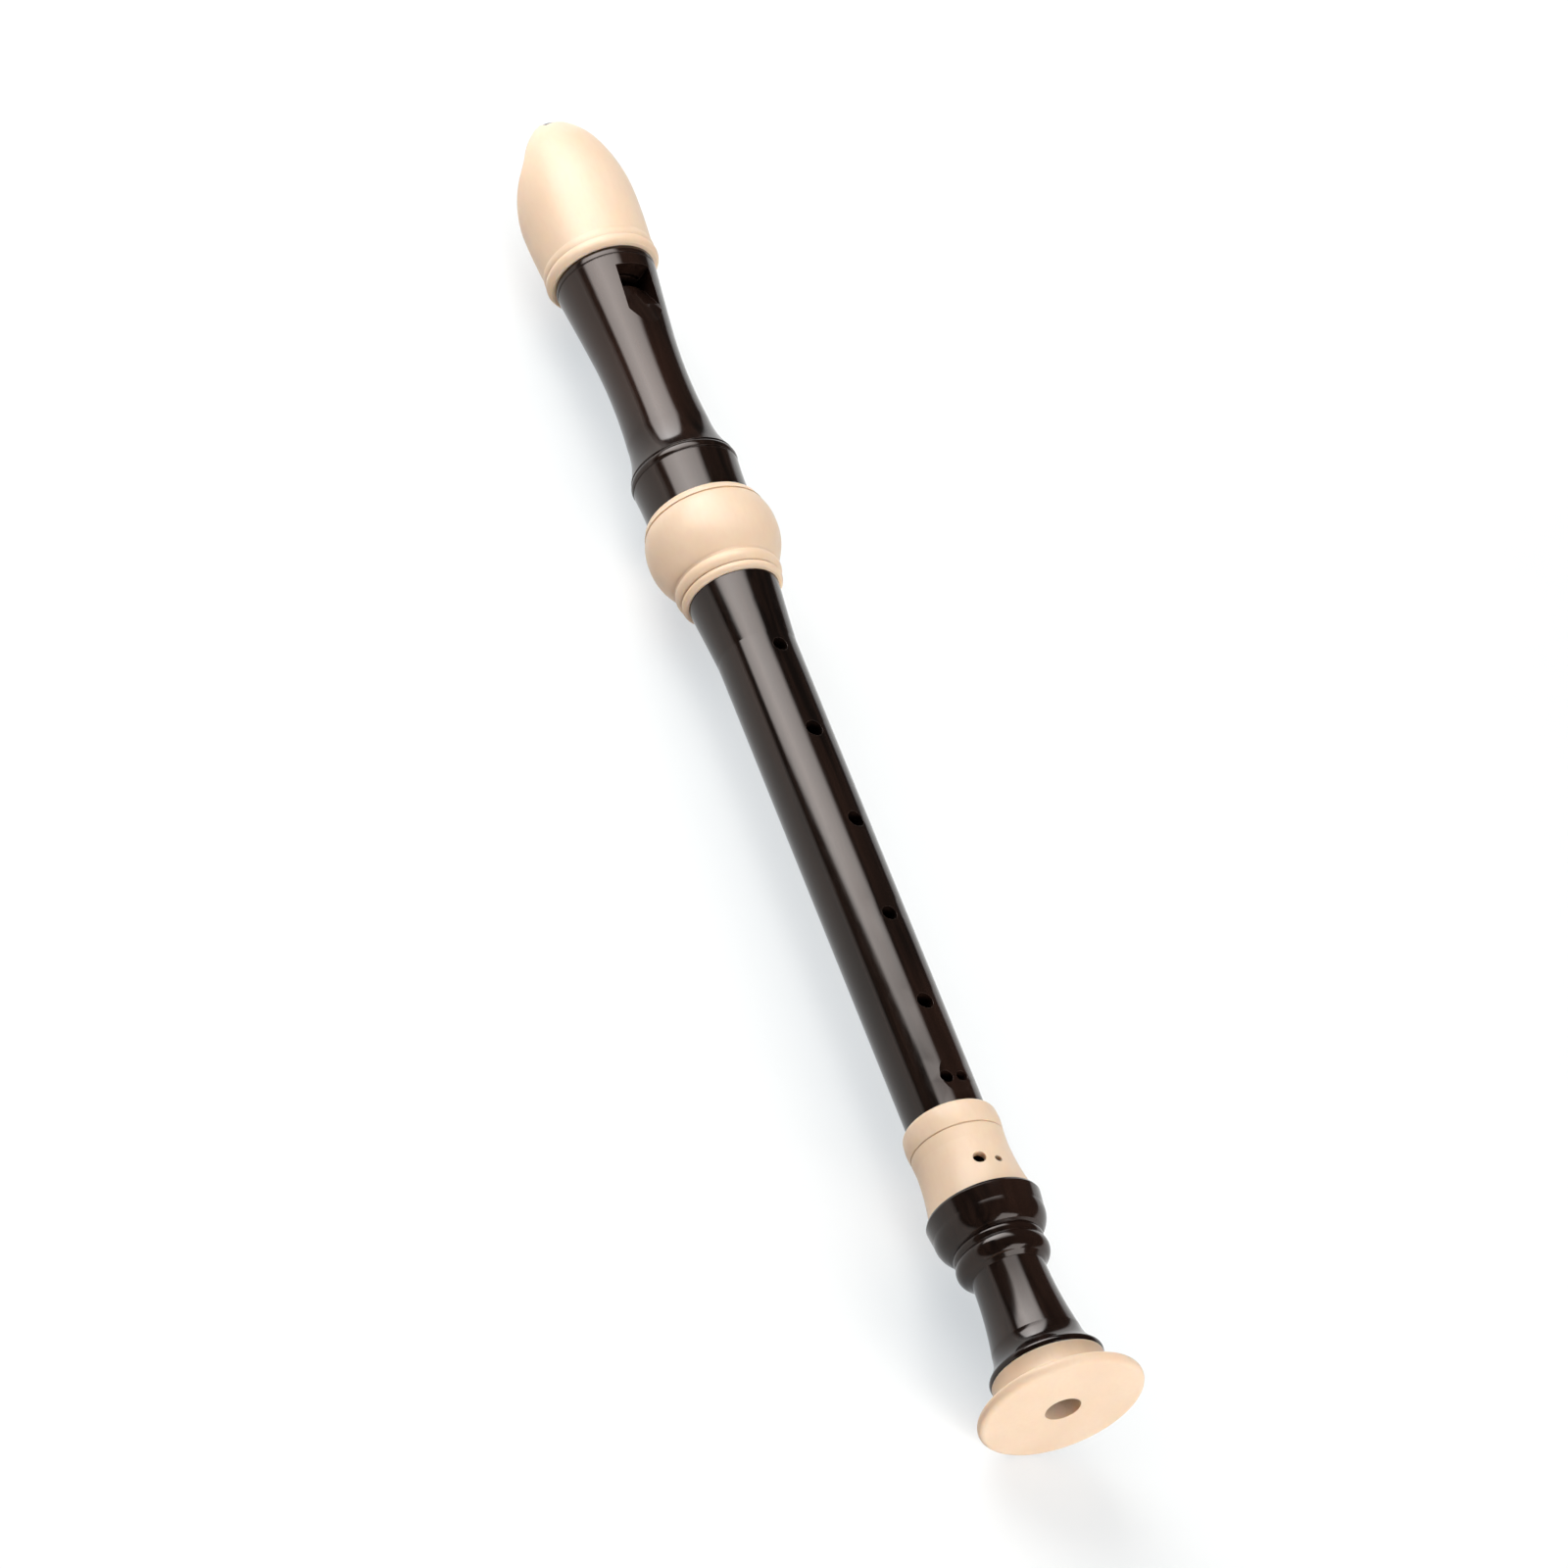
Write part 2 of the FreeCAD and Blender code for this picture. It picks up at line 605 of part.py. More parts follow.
def dome():
    """Corners and bends of the beak's dome, a quarter of an ellipse from its widest place to the tip."""
    points = []
    for place, turn in enumerate(DOME_TURNS):
        kind = Bend if place % 2 else Corner
        along = f"beak_length - beak_dome_length * (1 - sin({turn}))"
        points.append(kind(along, f"beak_radius * cos({turn})"))
    return points


# The underside's height above the axis in shares of the beak's radius, at shares of its length
UNDERSIDE_SHARES = [
    (Corner, 0.000, "-beak_radius"),
    (Bend, 0.278, "-0.465 * beak_radius"),
    (Corner, 0.517, "0.011 * beak_radius"),
    (Bend, 0.594, "0.150 * beak_radius"),
    (Corner, 0.688, "0.219 * beak_radius"),
    (Bend, 0.835, "0.289 * beak_radius"),
    (Corner, 1.000, "underside_tip_height"),
]


def cut_underside(body, beak_start="0"):
    """The hollow under the beak, where the lower lip goes."""
    start = f"({beak_start} + underside_start)"
    end = f"({beak_start} + beak_length)"
    sketch = new_sketch(body, "underside", "YZ_Plane")
    draw_outline(sketch, [
        *profile(UNDERSIDE_SHARES, end, start),
        Corner(f"{end} + overrun", "underside_tip_height"),
        Corner(f"{end} + overrun", "-beak_radius - overrun"),
        Corner(start, "-beak_radius - overrun"),
    ])
    cut(body, "Pocket", "underside_cut", Profile=sketch, Type="ThroughAll", SideType="Symmetric")


# Radii of the beak's two beads, at shares of their widths
LARGE_BEAD_SHARES = [
    (Corner, 0.00, "0.940 * beak_bead_radius"),
    (Bend, 0.50, "beak_bead_radius"),
    (Corner, 1.00, "0.975 * beak_bead_radius"),
]
SMALL_BEAD_SHARES = [
    (Bend, 0.50, "beak_small_bead_radius"),
    (Corner, 1.00, "0.985 * beak_small_bead_radius"),
]
SWELL_SHARES = [(Bend, 0.50, "0.985 * beak_radius")]


def beak_cap():
    """Light mouthpiece: two beads, a domed body cut away below, and the seat for spigot and block."""
    beads_end = "(beak_bead_width + beak_small_bead_width)"
    socket_floor = "barrel_spigot_length + glue_line"
    points = [
        *profile(LARGE_BEAD_SHARES, "beak_bead_width"),
        *profile(SMALL_BEAD_SHARES, beads_end, "beak_bead_width"),
        *profile(SWELL_SHARES, "(beak_length - beak_dome_length)", beads_end),
        *dome(),
        Corner(socket_floor, "0"),
        Corner(socket_floor, "barrel_spigot_radius + glue_line"),
        Corner("0", "barrel_spigot_radius + glue_line"),
    ]
    body = turned_piece("beak_cap", BEAK_STATION, points, "head_turn")
    seat = new_sketch(body, "block_seat", "XZ_Plane", along_normal=f"-({socket_floor})")
    draw_outline(seat, [
        Corner("-head_bore_radius", "glue_line"),
        Corner("head_bore_radius", "glue_line"),
        Bend("0", "-head_bore_radius"),
    ])
    cut(body, "Pocket", "block_seat_cut", Profile=seat, Type="ThroughAll")
    cut_windway(body, "-window_to_beak", "windway_roof_height", "-overrun")
    cut_underside(body)
    return body


def windway_block():
    """Plug that closes the top of the bore and carries the windway's floor out to the tip."""
    radius = "(head_bore_radius - glue_line)"
    end = f"{WINDWAY_LENGTH} + overrun"
    step = "window_to_beak + barrel_spigot_length - glue_line"
    plug = [Corner("0", "0"), Corner(end, "0"), Corner(end, radius), Corner("0", radius)]
    body = turned_piece("windway_block", WINDOW_STATION, plug, "head_turn")
    for name, sign in (("left_step", "-"), ("right_step", "")):
        inner = f"{sign}(windway_width / 2 - glue_line)"
        outer = f"{sign}(head_bore_radius + overrun)"
        sketch = new_sketch(body, name, "XZ_Plane", along_normal=f"-({step})")
        draw_outline(sketch, [
            Corner(inner, "0"),
            Corner(outer, "0"),
            Corner(outer, "head_bore_radius + overrun"),
            Corner(inner, "head_bore_radius + overrun"),
        ])
        cut(body, "Pocket", f"{name}_cut", Profile=sketch, Type="ThroughAll")
    cut_windway(body, "0", WINDWAY_FLOOR_HEIGHT, "head_bore_radius + overrun")
    cut_underside(body, "window_to_beak")
    outside = new_sketch(body, "dome", "YZ_Plane")
    beyond = "window_to_beak + beak_length + 2 * overrun"
    draw_outline(outside, [
        *[type(point)(f"window_to_beak - block_tip_recess + {point.across}", point.up) for point in dome()],
        Corner(beyond, "0"),
        Corner(beyond, "beak_radius"),
    ])
    cut(body, "Groove", "dome_cut", Profile=outside, ReferenceAxis=(outside, ["H_Axis"]), Angle=FULL_TURN)
    return body


def check_model(bodies):
    doc.recompute()
    for feature in doc.Objects:
        if "Invalid" in feature.State or "Error" in feature.State:
            raise RuntimeError(f"{feature.Label} failed: {feature.State}")
    for body in bodies:
        if body.Shape.isNull() or not body.Shape.isValid() or len(body.Shape.Solids) != 1:
            raise RuntimeError(f"{body.Label} isn't one valid solid")


def main():
    fill_sheet()
    bodies = [bell_ring(), foot_body(), foot_ring(), middle_tube(), *seal_rings()]
    bodies += [head_ring(), head_barrel(), beak_cap(), windway_block()]
    check_model(bodies)
    os.makedirs("parts", exist_ok=True)
    for body in bodies:
        body.Shape.exportStep(f"parts/{body.Label}.step")


main()
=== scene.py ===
from math import cos, pi, radians, sin

import bpy
from mathutils import Matrix, Vector


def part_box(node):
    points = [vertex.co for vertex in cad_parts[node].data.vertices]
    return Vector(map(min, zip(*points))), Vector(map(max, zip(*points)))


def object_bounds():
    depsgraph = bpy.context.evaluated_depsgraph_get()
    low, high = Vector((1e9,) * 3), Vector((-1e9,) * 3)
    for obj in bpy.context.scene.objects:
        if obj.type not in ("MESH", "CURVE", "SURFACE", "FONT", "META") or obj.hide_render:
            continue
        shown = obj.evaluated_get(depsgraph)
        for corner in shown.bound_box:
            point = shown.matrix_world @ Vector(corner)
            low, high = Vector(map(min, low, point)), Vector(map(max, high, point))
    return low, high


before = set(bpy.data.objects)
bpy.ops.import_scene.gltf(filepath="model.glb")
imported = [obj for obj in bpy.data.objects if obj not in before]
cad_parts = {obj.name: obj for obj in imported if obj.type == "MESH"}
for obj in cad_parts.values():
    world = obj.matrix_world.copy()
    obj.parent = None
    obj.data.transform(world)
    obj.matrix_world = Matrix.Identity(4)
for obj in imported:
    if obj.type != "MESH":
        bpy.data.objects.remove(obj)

# Looks of the alto recorder: glossy dark plastic, satin cream plastic and rubber, on a floor of white paper.
# The axis runs along +Y from the bell to the beak, and the finger holes are on the +Z side.
# Lengths are in metres, and colours are linear red, green and blue.

cad_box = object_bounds()

DARK_NODES = ("head_barrel", "middle_tube", "foot_body", "windway_block")
LIGHT_NODES = ("beak_cap", "head_ring", "foot_ring", "bell_ring")
AXIS_HEIGHT = (cad_box[0][2] + cad_box[1][2]) / 2
ALONG_AXIS = (0.0, 1.0, 0.0)
ACROSS_AXIS = (1.0, 0.0, 1.0)

# The camera as fitted to the photograph. STATION is a point of the axis, counted from the bell's end, and
# STATION_FROM_CAMERA is that point as the camera has it: x right, y down and z ahead. The axis leans from the
# camera's z and rolls in the picture, and the holes are turned round the axis from the side that faces the camera.
PHOTO_PIXELS = 1600
FOCAL_PIXELS = 9542.4
SENSOR_MM = 36.0
STATION = 0.240
STATION_FROM_CAMERA = Vector((0.00224, -0.01341, 2.8))
AXIS_LEAN = radians(59.91)
AXIS_ROLL = radians(21.98)
HOLES_TURN = radians(38.5)
NEAREST_SEEN = 0.05
FARTHEST_SEEN = 200.0

# Dark plastic
BLACK_BROWN = (0.0035, 0.0021, 0.0018)
RED_BROWN = (0.0160, 0.0080, 0.0056)
CLOUD_BROWN = (0.0240, 0.0105, 0.0070)
# Lighter brown on the edges: partly wear, partly a painted highlight.
EDGE_WEAR_AND_HIGHLIGHT_BROWN = (0.070, 0.045, 0.035)
GLOSS_TINT = (1.0, 0.86, 0.79)

# Light plastic
DEEP_CREAM = (0.790, 0.578, 0.412)
PALE_CREAM = (0.830, 0.622, 0.456)
FLECK_CREAM = (0.780, 0.550, 0.385)
# Painted shade: browner in the turned lines and crevices, where the surface is closed in.
CREVICE_PAINTED_SHADE = (0.430, 0.255, 0.130)
# Painted shade: dark brown deep inside the holes and bores.
HOLE_PAINTED_SHADE = (0.110, 0.060, 0.040)

# Rubber
RUBBER_BLACK = (0.010, 0.010, 0.011)
RUBBER_GREY = (0.030, 0.029, 0.028)

# Floor and studio
FLOOR_HALF = 60.0
PAPER_LOW = (0.46, 0.425, 0.390)
PAPER_HIGH = (0.48, 0.445, 0.410)
GLOW_NEAR = (0.50, 0.535, 0.565)
GLOW_FAR = (0.90, 0.90, 0.90)
HORIZON = (1.0, 1.0, 1.0)
STUDIO_DARK = (0.060, 0.052, 0.046)

# Lamps. Three of them only light the surfaces, and two are only seen in their gloss.
COOL = (0.95, 1.0, 1.03)
WARM = (1.0, 0.96, 0.91)
LIGHTS_ONLY = ("glossy",)
SHINES_ONLY = ("camera", "diffuse", "transmission")


class Nodes:
    """One node tree, with short calls to add and join its nodes."""

    def __init__(self, tree, output):
        self.tree = tree
        self.tree.nodes.clear()
        self.surface = self.add(output).inputs["Surface"]

    def add(self, kind, **settings):
        node = self.tree.nodes.new(kind)
        for name, setting in settings.items():
            setattr(node, name, setting)
        return node

    def join(self, source, target):
        self.tree.links.new(source, target)

    def fill(self, sockets, values):
        """Set each socket to its number or vector, or join it to the socket given in its place."""
        for socket, value in zip(sockets, values):
            if isinstance(value, (float, tuple)):
                socket.default_value = value
            else:
                self.join(value, socket)

    def coordinates(self, scale):
        """Object coordinates, stretched by a scale for each axis."""
        mapping = self.add("ShaderNodeMapping")
        mapping.inputs["Scale"].default_value = scale
        self.join(self.add("ShaderNodeTexCoord").outputs["Object"], mapping.inputs["Vector"])
        return mapping.outputs["Vector"]

    def noise(self, scale, detail=3.0, roughness=0.5, distortion=0.0):
        texture = self.add("ShaderNodeTexNoise")
        texture.inputs["Scale"].default_value = 1.0
        texture.inputs["Detail"].default_value = detail
        texture.inputs["Roughness"].default_value = roughness
        texture.inputs["Distortion"].default_value = distortion
        self.join(self.coordinates(scale), texture.inputs["Vector"])
        return texture.outputs["Fac"]

    def ramp(self, value, start, stop, at_start=0.0, at_stop=1.0):
        """A straight change from at_start to at_stop as the value goes from start to stop, held outside them."""
        node = self.add("ShaderNodeMapRange")
        self.join(value, node.inputs["Value"])
        node.inputs["From Min"].default_value = start
        node.inputs["From Max"].default_value = stop
        node.inputs["To Min"].default_value = at_start
        node.inputs["To Max"].default_value = at_stop
        return node.outputs["Result"]

    def math(self, operation, *values):
        node = self.add("ShaderNodeMath", operation=operation)
        self.fill(node.inputs, values)
        return node.outputs["Value"]

    def product(self, *factors):
        result = factors[0]
        for factor in factors[1:]:
            result = self.math("MULTIPLY", result, factor)
        return result

    def vector_math(self, operation, *values):
        node = self.add("ShaderNodeVectorMath", operation=operation)
        self.fill(node.inputs, values)
        return node.outputs["Value" if operation in ("DOT_PRODUCT", "LENGTH") else "Vector"]

    def mix(self, factor, first, second):
        node = self.add("ShaderNodeMix", data_type="RGBA")
        self.join(factor, node.inputs["Factor"])
        sockets = [socket for socket in node.inputs if socket.type == "RGBA"]
        colours = [(*colour, 1.0) if isinstance(colour, tuple) else colour for colour in (first, second)]
        self.fill(sockets, colours)
        return next(socket for socket in node.outputs if socket.type == "RGBA")

    def rounded(self, radius):
        """The normal of the surface with its edges rounded by this radius."""
        bevel = self.add("ShaderNodeBevel", samples=6)
        bevel.inputs["Radius"].default_value = radius
        return bevel.outputs["Normal"]

    def edges(self, radius):
        """How much the surface turns within this radius, from 0 on a flat or a smooth face to 1."""
        plain = self.add("ShaderNodeNewGeometry").outputs["Normal"]
        likeness = self.vector_math("DOT_PRODUCT", self.rounded(radius), plain)
        return self.ramp(likeness, 1.0, 0.86)

    def openness(self, distance, samples):
        """How open the surface is within this distance, from 0 deep in a hollow to 1."""
        hollow = self.add("ShaderNodeAmbientOcclusion", samples=samples, only_local=True)
        hollow.inputs["Distance"].default_value = distance
        return hollow.outputs["AO"]

    def carried(self, normal, source, target):
        """A normal carried from the world's directions to the object's own, or back."""
        node = self.add("ShaderNodeVectorTransform", vector_type="NORMAL", convert_from=source, convert_to=target)
        self.join(normal, node.inputs["Vector"])
        return node.outputs["Vector"]

    def turned(self, normal):
        """The normal without its small leans round the recorder's axis, which a turned surface hasn't."""
        place = self.add("ShaderNodeTexCoord").outputs["Object"]
        place = self.vector_math("SUBTRACT", place, (0.0, 0.0, AXIS_HEIGHT))
        outward = self.vector_math("NORMALIZE", self.vector_math("MULTIPLY", place, ACROSS_AXIS))
        around = self.vector_math("CROSS_PRODUCT", outward, ALONG_AXIS)
        local = self.carried(normal, "WORLD", "OBJECT")
        lean = self.vector_math("DOT_PRODUCT", local, around)
        taken = self.ramp(self.math("ABSOLUTE", lean), 0.18, 0.36, at_start=1.0, at_stop=0.0)
        sideways = self.add("ShaderNodeVectorMath", operation="SCALE")
        self.join(around, sideways.inputs["Vector"])
        self.join(self.product(lean, taken), sideways.inputs["Scale"])
        straight = self.vector_math("SUBTRACT", local, sideways.outputs["Vector"])
        return self.vector_math("NORMALIZE", self.carried(straight, "OBJECT", "WORLD"))

    def relief(self, height, depth, normal):
        """The normal with a fine relief of this depth on it."""
        bump = self.add("ShaderNodeBump")
        bump.inputs["Strength"].default_value = 1.0
        bump.inputs["Distance"].default_value = depth
        self.join(height, bump.inputs["Height"])
        self.join(normal, bump.inputs["Normal"])
        return bump.outputs["Normal"]

    def principled(self, colour, roughness, normal, **settings):
        principled = self.add("ShaderNodeBsdfPrincipled")
        self.join(colour, principled.inputs["Base Color"])
        self.join(roughness, principled.inputs["Roughness"])
        self.join(normal, principled.inputs["Normal"])
        for name, setting in settings.items():
            principled.inputs[name.replace("_", " ")].default_value = setting
        self.join(principled.outputs["BSDF"], self.surface)


def new_material(name):
    material = bpy.data.materials.new(name)
    material.use_nodes = True
    return material, Nodes(material.node_tree, "ShaderNodeOutputMaterial")


def dark_plastic():
    """Glossy dark brown plastic with faint streaks along the tube, as moulded to look like wood."""
    material, nodes = new_material("dark_plastic")
    streaks = nodes.noise(scale=(420.0, 14.0, 420.0), detail=4.0, roughness=0.6, distortion=0.3)
    clouds = nodes.noise(scale=(38.0, 12.0, 38.0), detail=2.0)
    haze = nodes.noise(scale=(900.0, 160.0, 900.0))
    edge_wear_and_highlight = nodes.edges(radius=0.0004)
    colour = nodes.mix(nodes.ramp(streaks, 0.38, 0.68), BLACK_BROWN, RED_BROWN)
    colour = nodes.mix(nodes.ramp(clouds, 0.46, 0.70, at_stop=0.7), colour, CLOUD_BROWN)
    # Lighter on the edges, partly wear and partly a painted highlight; rougher there from wear.
    colour = nodes.mix(nodes.ramp(edge_wear_and_highlight, 0.2, 1.0, at_stop=0.35), colour, EDGE_WEAR_AND_HIGHLIGHT_BROWN)
    polish = nodes.ramp(haze, 0.3, 0.7, at_start=0.085, at_stop=0.145)
    roughness = nodes.math("ADD", polish, nodes.ramp(edge_wear_and_highlight, 0.0, 1.0, at_stop=0.10))
    normal = nodes.relief(streaks, depth=0.0000035, normal=nodes.turned(nodes.rounded(radius=0.00018)))
    nodes.principled(colour, roughness, normal, IOR=1.45, Specular_Tint=(*GLOSS_TINT, 1.0))
    return material


def light_plastic():
    """Satin cream plastic, slightly translucent, with painted shade in its turned lines and inside its holes."""
    material, nodes = new_material("ivory_plastic")
    clouds = nodes.noise(scale=(55.0, 30.0, 55.0))
    flecks = nodes.noise(scale=(700.0, 240.0, 700.0), detail=2.0)
    grain = nodes.noise(scale=(1500.0, 500.0, 1500.0))
    crevice_shade = nodes.openness(distance=0.0012, samples=6)
    hole_shade = nodes.openness(distance=0.012, samples=8)
    colour = nodes.mix(nodes.ramp(clouds, 0.32, 0.70), DEEP_CREAM, PALE_CREAM)
    colour = nodes.mix(nodes.ramp(flecks, 0.45, 0.75, at_stop=0.35), colour, FLECK_CREAM)
    # Painted shade: browner where the turned lines and crevices close the surface in.
    colour = nodes.mix(nodes.ramp(crevice_shade, 0.80, 0.30, at_stop=0.55), colour, CREVICE_PAINTED_SHADE)
    # Painted shade: darker deep inside the holes and bores.
    colour = nodes.mix(nodes.ramp(hole_shade, 0.45, 0.12), colour, HOLE_PAINTED_SHADE)
    roughness = nodes.ramp(grain, 0.3, 0.7, at_start=0.30, at_stop=0.41)
    normal = nodes.relief(grain, depth=0.000004, normal=nodes.rounded(radius=0.00025))
    nodes.principled(
        colour, roughness, normal, IOR=1.5, Specular_IOR_Level=0.17,
        Subsurface_Weight=0.45, Subsurface_Scale=0.0018, Subsurface_Radius=(1.0, 0.66, 0.34),
    )
    return material


def seal_rubber():
    """Matt black rubber with a fine moulded grain."""
    material, nodes = new_material("seal_rubber")
    grain = nodes.noise(scale=(2600.0, 2600.0, 2600.0), detail=4.0)
    colour = nodes.mix(grain, RUBBER_BLACK, RUBBER_GREY)
    roughness = nodes.ramp(grain, 0.3, 0.7, at_start=0.50, at_stop=0.68)
    normal = nodes.relief(grain, depth=0.00001, normal=nodes.rounded(radius=0.0001))
    nodes.principled(colour, roughness, normal)
    return material


def paper_floor():
    """Paper that keeps the shadow, with a glow that makes it white to the camera, in glosses and through glass."""
    material, nodes = new_material("paper_floor")
    grain = nodes.noise(scale=(60.0, 60.0, 60.0), detail=4.0)
    paper = nodes.add("ShaderNodeBsdfDiffuse")
    nodes.join(nodes.mix(grain, PAPER_LOW, PAPER_HIGH), paper.inputs["Color"])
    distance = nodes.vector_math("LENGTH", nodes.add("ShaderNodeTexCoord").outputs["Object"])
    path = nodes.add("ShaderNodeLightPath")
    seen = nodes.math("MAXIMUM", path.outputs["Is Camera Ray"], path.outputs["Is Glossy Ray"])
    seen = nodes.math("MAXIMUM", seen, path.outputs["Is Transmission Ray"])
    glow = nodes.add("ShaderNodeEmission")
    nodes.join(nodes.mix(nodes.ramp(distance, 0.35, 1.80), GLOW_NEAR, GLOW_FAR), glow.inputs["Color"])
    nodes.join(seen, glow.inputs["Strength"])
    both = nodes.add("ShaderNodeAddShader")
    nodes.join(paper.outputs["BSDF"], both.inputs[0])
    nodes.join(glow.outputs["Emission"], both.inputs[1])
    nodes.join(both.outputs["Shader"], nodes.surface)
    return material


def dress(names, material):
    for name in names:
        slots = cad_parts[name].data.materials
        slots.clear()
        slots.append(material)


def lay_floor():
    corners = [
        (-FLOOR_HALF, -FLOOR_HALF, 0.0), (FLOOR_HALF, -FLOOR_HALF, 0.0),
        (FLOOR_HALF, FLOOR_HALF, 0.0), (-FLOOR_HALF, FLOOR_HALF, 0.0),
    ]
    mesh = bpy.data.meshes.new("floor")
    mesh.from_pydata(corners, [], [(0, 1, 2, 3)])
    floor = bpy.data.objects.new("floor", mesh)
    bpy.context.scene.collection.objects.link(floor)
    mesh.materials.append(paper_floor())


def view_of_axis():
    """The turn from the frame to the camera's axes, and two directions of the frame that are square to the
    recorder's axis: towards the camera, and to the right as the camera sees it."""
    along = Vector((-sin(AXIS_ROLL) * sin(AXIS_LEAN), -cos(AXIS_ROLL) * sin(AXIS_LEAN), cos(AXIS_LEAN)))
    ahead = STATION_FROM_CAMERA.normalized()
    toward = (along * ahead.dot(along) - ahead).normalized()
    side = along.cross(toward)
    up = toward * cos(HOLES_TURN) + side * sin(HOLES_TURN)
    turn = Matrix((along.cross(up), along, up)).transposed()
    return turn, turn.transposed() @ toward, turn.transposed() @ side


def place_camera():
    turn, _, _ = view_of_axis()
    low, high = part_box("bell_ring")
    station = Vector((0.0, low.y + STATION, (low.z + high.z) / 2))
    from_camera = STATION_FROM_CAMERA - turn @ station
    camera = bpy.data.objects.new("camera", bpy.data.cameras.new("camera"))
    bpy.context.scene.collection.objects.link(camera)
    face = turn.transposed() @ Matrix.Diagonal((1.0, -1.0, -1.0))
    camera.matrix_world = Matrix.Translation(-(turn.transposed() @ from_camera)) @ face.to_4x4()
    camera.data.sensor_fit = "HORIZONTAL"
    camera.data.sensor_width = SENSOR_MM
    camera.data.lens = SENSOR_MM * FOCAL_PIXELS / PHOTO_PIXELS
    camera.data.clip_start = NEAREST_SEEN
    camera.data.clip_end = FARTHEST_SEEN
    bpy.context.scene.camera = camera


def add_lamp(name, direction, distance, width, length, radiance, colour, hidden, middle=0.0):
    """A soft rectangle with its length along the recorder's axis, which it faces at middle. It is hidden from
    these kinds of ray."""
    lamp = bpy.data.objects.new(name, bpy.data.lights.new(name, "AREA"))
    lamp.data.shape = "RECTANGLE"
    lamp.data.size = width
    lamp.data.size_y = length
    lamp.data.energy = radiance * pi * width * length
    lamp.data.color = colour
    for ray in hidden:
        setattr(lamp, f"visible_{ray}", False)
    across = Vector(ALONG_AXIS).cross(direction).normalized()
    face = Matrix((across, direction.cross(across), direction)).transposed()
    place = Vector((0.0, middle, AXIS_HEIGHT)) + direction * distance
    lamp.matrix_world = Matrix.Translation(place) @ face.to_4x4()
    bpy.context.scene.collection.objects.link(lamp)
    return lamp.data


def lamp_face(lamp):
    """The lamp's nodes, and how far a point of it lies from its middle: across to the right, and towards the head."""
    lamp.use_nodes = True
    nodes = Nodes(lamp.node_tree, "ShaderNodeOutputLight")
    place = nodes.add("ShaderNodeSeparateXYZ")
    nodes.join(nodes.add("ShaderNodeNewGeometry").outputs["Parametric"], place.inputs["Vector"])
    across = nodes.product(nodes.math("SUBTRACT", place.outputs["X"], 0.5), lamp.size)
    along = nodes.product(nodes.math("SUBTRACT", place.outputs["Y"], 0.5), lamp.size_y)
    return nodes, across, along


def shine(nodes, strength):
    glow = nodes.add("ShaderNodeEmission")
    nodes.join(strength, glow.inputs["Strength"])
    nodes.join(glow.outputs["Emission"], nodes.surface)


def shade_key(lamp):
    """The key lamp has a soft slanted edge on its left, dims towards its near end, and fades at both ends."""
    nodes, across, along = lamp_face(lamp)
    edge = nodes.ramp(along, -0.52, -0.23, at_start=-0.22, at_stop=-0.80)
    left = nodes.ramp(nodes.math("SUBTRACT", across, edge), -0.15, 0.20)
    near = nodes.ramp(along, -0.50, -0.25, at_start=0.72)
    ends = nodes.ramp(nodes.math("ABSOLUTE", along), 0.68, 0.54)
    shine(nodes, nodes.product(left, near, ends))


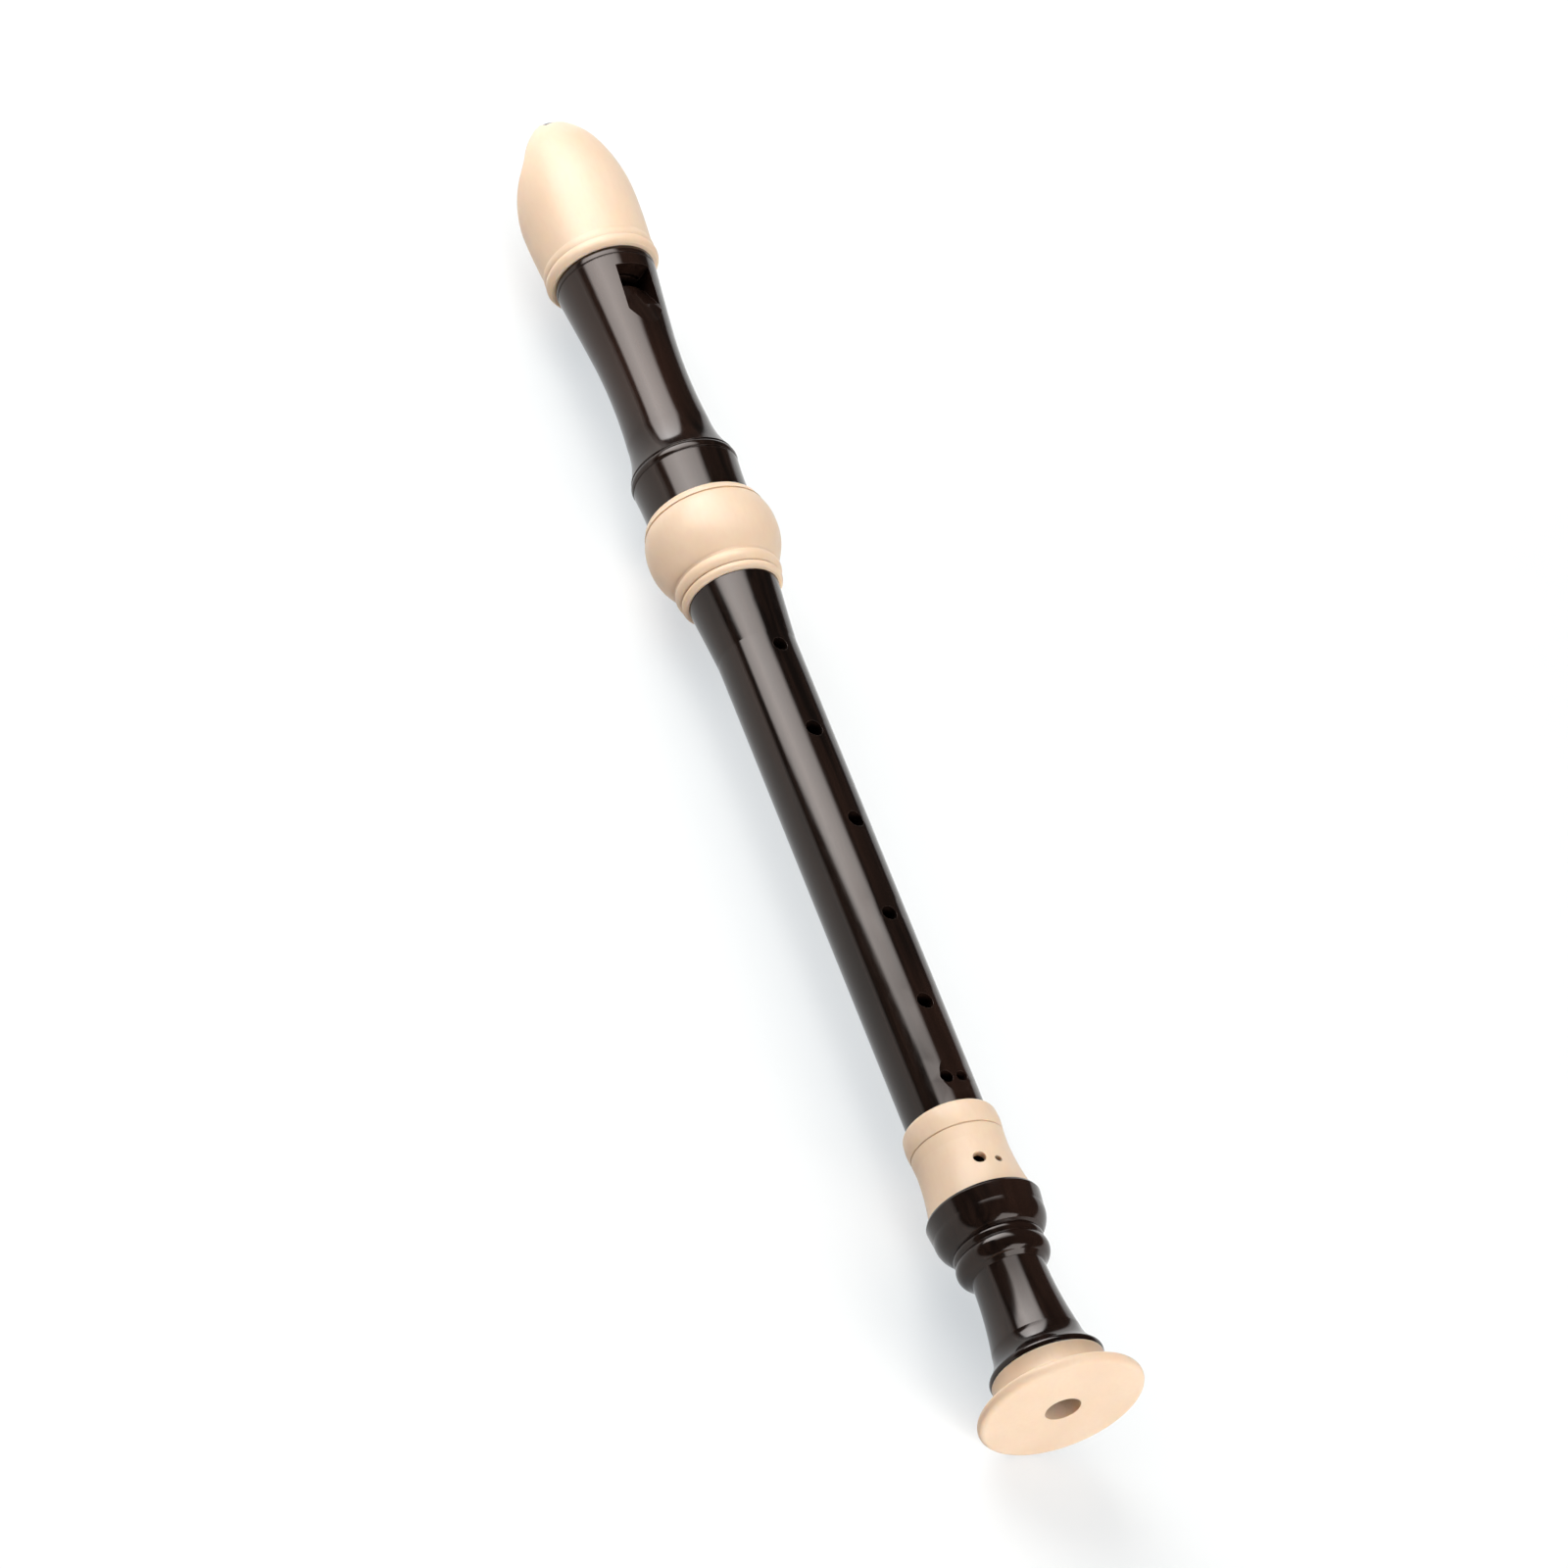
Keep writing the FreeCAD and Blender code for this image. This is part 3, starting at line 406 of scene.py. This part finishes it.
def shade_strip(lamp):
    """The strip lamp's left edge slants in towards its near end, both its sides are soft, and both ends fade."""
    nodes, across, along = lamp_face(lamp)
    edge = nodes.ramp(along, -0.56, -0.36, at_start=-0.028, at_stop=-0.300)
    left = nodes.ramp(nodes.math("SUBTRACT", across, edge), -0.03, 0.03)
    left_slope = nodes.ramp(across, -0.30, -0.05, at_start=0.65)
    right = nodes.ramp(across, 0.38, 0.26)
    right_slope = nodes.ramp(across, 0.27, -0.04, at_start=0.60)
    near = nodes.ramp(along, -0.68, -0.46)
    far = nodes.ramp(along, 0.70, 0.60)
    shine(nodes, nodes.product(left, left_slope, right, right_slope, near, far))


def make_world():
    """A studio that is pale down at the horizon and dark above."""
    world = bpy.data.worlds.new("studio")
    bpy.context.scene.world = world
    world.use_nodes = True
    nodes = Nodes(world.node_tree, "ShaderNodeOutputWorld")
    height = nodes.add("ShaderNodeSeparateXYZ")
    nodes.join(nodes.add("ShaderNodeTexCoord").outputs["Generated"], height.inputs["Vector"])
    background = nodes.add("ShaderNodeBackground")
    darkness = nodes.ramp(height.outputs["Z"], 0.04, 0.13)
    nodes.join(nodes.mix(darkness, HORIZON, STUDIO_DARK), background.inputs["Color"])
    nodes.join(background.outputs["Background"], nodes.surface)


def light_scene():
    _, toward, side = view_of_axis()

    def direction(around, along):
        """A direction so many degrees round from the camera's side to the right, and so many towards the head."""
        around, along = radians(around), radians(along)
        return (toward * cos(around) + side * sin(around)) * cos(along) + Vector(ALONG_AXIS) * sin(along)

    shade_key(add_lamp("key_lamp", direction(around=6.0, along=41.0), distance=1.4,
                       width=1.60, length=1.38, radiance=5.5, colour=COOL, hidden=LIGHTS_ONLY))
    shade_strip(add_lamp("strip_lamp", direction(around=6.0, along=0.0), distance=0.4,
                         width=0.76, length=1.40, radiance=9.7, colour=COOL, hidden=SHINES_ONLY, middle=0.642))
    add_lamp("front_lamp", direction(around=50.0, along=-66.0), distance=1.7,
             width=1.00, length=0.85, radiance=9.6, colour=COOL, hidden=LIGHTS_ONLY)
    add_lamp("glint_lamp", direction(around=62.0, along=-62.0), distance=1.7,
             width=0.90, length=0.85, radiance=4.0, colour=COOL, hidden=SHINES_ONLY)
    add_lamp("fill_lamp", direction(around=75.0, along=10.0), distance=2.0,
             width=1.50, length=1.50, radiance=0.85, colour=WARM, hidden=LIGHTS_ONLY)
    make_world()


place_camera()
lay_floor()
light_scene()
dress(DARK_NODES, dark_plastic())
dress(LIGHT_NODES, light_plastic())
dress([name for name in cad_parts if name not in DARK_NODES + LIGHT_NODES], seal_rubber())
bpy.context.scene.view_settings.view_transform = "Standard"
